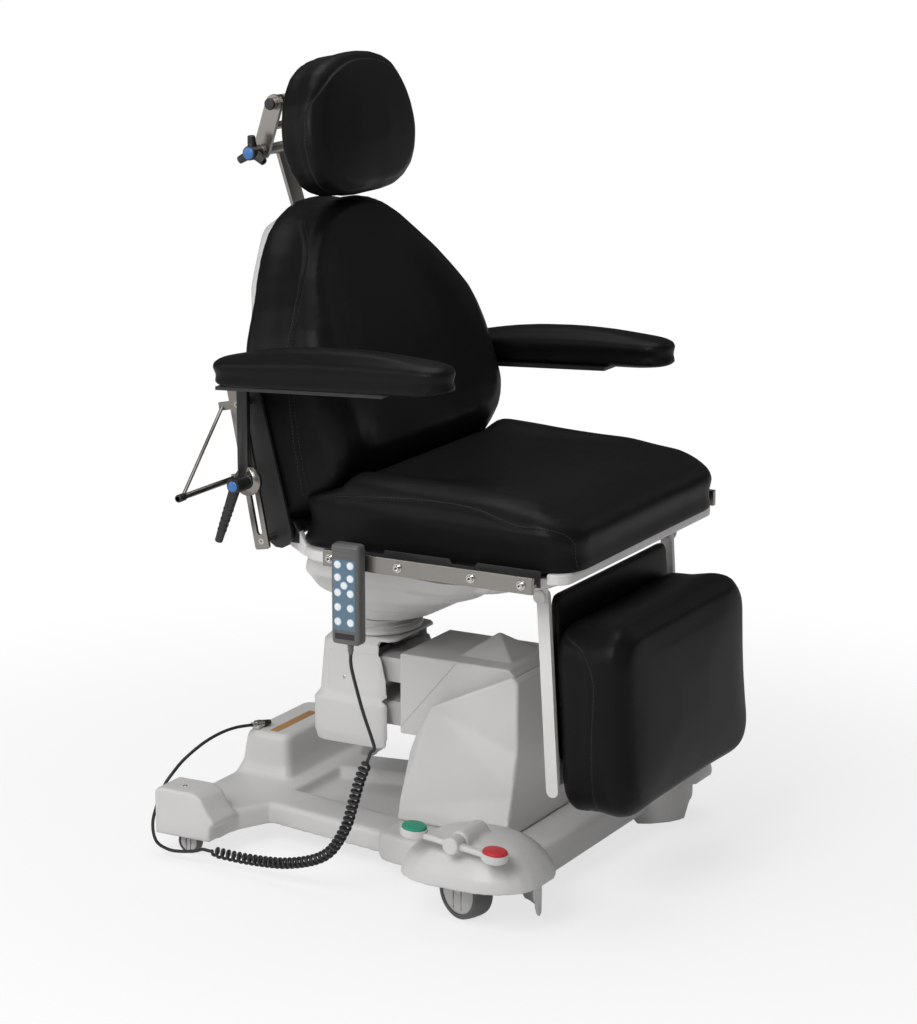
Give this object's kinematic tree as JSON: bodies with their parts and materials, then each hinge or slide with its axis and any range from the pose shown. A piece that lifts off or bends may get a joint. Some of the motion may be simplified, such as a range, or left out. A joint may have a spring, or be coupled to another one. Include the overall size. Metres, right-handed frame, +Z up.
{
  "type": "procedure chair",
  "caption": "Upholstered procedure chair on casters with a lifting arm, tilting seat, reclining back, leg section, sliding armrests, adjustable headrest and hand control.",
  "frame": {"origin": "on the floor, under the middle of the chair's plan", "axes": "+Z up, the chair faces -Y, +X to the patient's left"},
  "size_m": [1.048, 0.9506, 1.4139],
  "materials": {
    "shell": "satin light warm grey",
    "vinyl": "soft black vinyl with a fine grain",
    "steel": "brushed",
    "dark_steel": "dark paint",
    "black_plastic": "fine texture",
    "tyre": "grey rubber",
    "white_paint": "powder coat",
    "green_pad": "fine texture",
    "red_pad": "fine texture",
    "key_panel": "membrane",
    "cord": "matte"
  },
  "bodies": {
    "base": {"base_cover": "shell", "chassis": "dark_steel", "tower_cover": "shell", "mast": "dark_steel", "control_box": "black_plastic", "mains_inlet": "black_plastic", "cord_socket": "steel", "cord_coil": "cord", "cord_tail": "cord"},
    "swivel_front_right": {"caster_fork_front_right": "white_paint"},
    "swivel_front_left": {"caster_fork_front_left": "white_paint"},
    "swivel_rear_right": {"caster_fork_rear_right": "white_paint"},
    "swivel_rear_left": {"caster_fork_rear_left": "white_paint"},
    "wheel_front_right": {"caster_wheel_front_right": "tyre"},
    "wheel_front_left": {"caster_wheel_front_left": "tyre"},
    "wheel_rear_right": {"caster_wheel_rear_right": "tyre"},
    "wheel_rear_left": {"caster_wheel_rear_left": "tyre"},
    "brake": {"brake_pedal": "shell", "brake_pad_green": "green_pad", "brake_pad_red": "red_pad"},
    "upper_arm": {"upper_arm": "dark_steel", "arm_cover": "shell"},
    "lower_arm": {"lower_arm": "dark_steel"},
    "carrier": {"carrier_cover": "shell", "carrier_frame": "dark_steel"},
    "seat": {"seat_frame": "dark_steel", "seat_funnel": "shell", "seat_pan": "shell", "seat_cushion": "vinyl", "rail_right": "steel", "rail_left": "steel"},
    "back": {"back_frame": "steel", "back_shell": "shell", "back_cushion": "vinyl", "arm_bar_right": "steel", "arm_bar_left": "steel", "arm_brace_right": "steel", "arm_brace_left": "steel"},
    "armrest_right": {"arm_post_right": "steel", "arm_pad_right": "vinyl"},
    "armrest_left": {"arm_post_left": "steel", "arm_pad_left": "vinyl"},
    "lever_right": {"clamp_lever_right": "black_plastic"},
    "lever_left": {"clamp_lever_left": "black_plastic"},
    "head_bar": {"head_bar": "steel"},
    "head_link": {"head_link": "steel"},
    "head_pad": {"head_bracket": "steel", "head_pad": "vinyl"},
    "head_knob": {"head_knob": "black_plastic"},
    "leg": {"leg_frame": "white_paint", "leg_pad": "vinyl"},
    "leg_cushion": {"leg_cushion": "vinyl"},
    "handset": {"handset_body": "black_plastic", "handset_keypad": "key_panel", "cord_lead": "cord"}
  },
  "joints": [
    {"name": "swivel_front_right_turn", "type": "hinge", "parent": "base", "child": "swivel_front_right", "pos_m": [-0.318, -0.20676, 0.126], "axis": [0, 0, 1], "continuous": true},
    {"name": "swivel_front_left_turn", "type": "hinge", "parent": "base", "child": "swivel_front_left", "pos_m": [0.318, -0.20676, 0.126], "axis": [0, 0, 1], "continuous": true},
    {"name": "swivel_rear_right_turn", "type": "hinge", "parent": "base", "child": "swivel_rear_right", "pos_m": [-0.266, 0.39324, 0.066], "axis": [0, 0, 1], "continuous": true},
    {"name": "swivel_rear_left_turn", "type": "hinge", "parent": "base", "child": "swivel_rear_left", "pos_m": [0.266, 0.39324, 0.066], "axis": [0, 0, 1], "continuous": true},
    {"name": "wheel_front_right_spin", "type": "hinge", "parent": "swivel_front_right", "child": "wheel_front_right", "pos_m": [-0.30945, -0.18327, 0.05], "axis": [0.9397, -0.342, 0], "continuous": true},
    {"name": "wheel_front_left_spin", "type": "hinge", "parent": "swivel_front_left", "child": "wheel_front_left", "pos_m": [0.32655, -0.18327, 0.05], "axis": [0.9397, -0.342, 0], "continuous": true},
    {"name": "wheel_rear_right_spin", "type": "hinge", "parent": "swivel_rear_right", "child": "wheel_rear_right", "pos_m": [-0.266, 0.40424, 0.0225], "axis": [1, 0, 0], "continuous": true},
    {"name": "wheel_rear_left_spin", "type": "hinge", "parent": "swivel_rear_left", "child": "wheel_rear_left", "pos_m": [0.266, 0.40424, 0.0225], "axis": [1, 0, 0], "continuous": true},
    {"name": "brake_rock", "type": "hinge", "parent": "base", "child": "brake", "pos_m": [-0.405, -0.21276, 0.165], "axis": [1, 0, 0], "range_deg": [-12, 12]},
    {"name": "lift", "type": "hinge", "parent": "base", "child": "upper_arm", "pos_m": [0, -0.11476, 0.335], "axis": [1, 0, 0], "range_deg": [-6, 45], "deforming": ["cord_coil"]},
    {"name": "lift_lower_arm", "type": "hinge", "parent": "base", "child": "lower_arm", "pos_m": [0, -0.11476, 0.255], "axis": [1, 0, 0], "range_deg": [-6, 45]},
    {"name": "lift_carrier", "type": "hinge", "parent": "upper_arm", "child": "carrier", "pos_m": [0, 0.15524, 0.335], "axis": [1, 0, 0], "range_deg": [-45, 6]},
    {"name": "seat_tilt", "type": "hinge", "parent": "carrier", "child": "seat", "pos_m": [0, 0.14524, 0.447], "axis": [1, 0, 0], "range_deg": [-15, 0], "deforming": ["cord_coil"]},
    {"name": "back_recline", "type": "hinge", "parent": "seat", "child": "back", "pos_m": [0, 0.17924, 0.627], "axis": [-1, 0, 0], "range_deg": [0, 65]},
    {"name": "armrest_right_slide", "type": "slide", "parent": "back", "child": "armrest_right", "axis": [0, 0.1904, 0.9817], "range_m": [-0.09, 0]},
    {"name": "armrest_left_slide", "type": "slide", "parent": "back", "child": "armrest_left", "axis": [0, 0.1904, 0.9817], "range_m": [-0.002, 0.088]},
    {"name": "lever_right_turn", "type": "hinge", "parent": "armrest_right", "child": "lever_right", "pos_m": [-0.3616, 0.21143, 0.72506], "axis": [1, 0, 0], "range_deg": [-60, 30]},
    {"name": "lever_left_turn", "type": "hinge", "parent": "armrest_left", "child": "lever_left", "pos_m": [0.3616, 0.19467, 0.63867], "axis": [1, 0, 0], "range_deg": [-60, 30]},
    {"name": "head_height", "type": "slide", "parent": "back", "child": "head_bar", "axis": [0, 0.309, 0.9511], "range_m": [0, 0.1]},
    {"name": "head_link_swing", "type": "hinge", "parent": "head_bar", "child": "head_link", "pos_m": [0, 0.3594, 1.24278], "axis": [1, 0, 0], "range_deg": [-25, 0]},
    {"name": "head_pad_tilt", "type": "hinge", "parent": "head_link", "child": "head_pad", "pos_m": [0, 0.33224, 1.327], "axis": [1, 0, 0], "range_deg": [-30, 0]},
    {"name": "head_knob_turn", "type": "hinge", "parent": "head_bar", "child": "head_knob", "pos_m": [-0.0803, 0.3594, 1.24278], "axis": [1, 0, 0], "continuous": true},
    {"name": "leg_swing", "type": "hinge", "parent": "seat", "child": "leg", "pos_m": [0, -0.29076, 0.563], "axis": [-1, 0, 0], "range_deg": [0, 60]},
    {"name": "leg_cushion_slide", "type": "slide", "parent": "leg", "child": "leg_cushion", "axis": [0, -0.061, -0.9981], "range_m": [0, 0.06]},
    {"name": "handset_lift", "type": "slide", "parent": "seat", "child": "handset", "axis": [0, 0, 1], "range_m": [0, 0.06], "deforming": ["cord_coil"]}
  ],
  "couplings": [
    {"joint": "lift_lower_arm", "follows": "lift", "ratio": 1},
    {"joint": "lift_carrier", "follows": "lift", "ratio": -1}
  ]
}
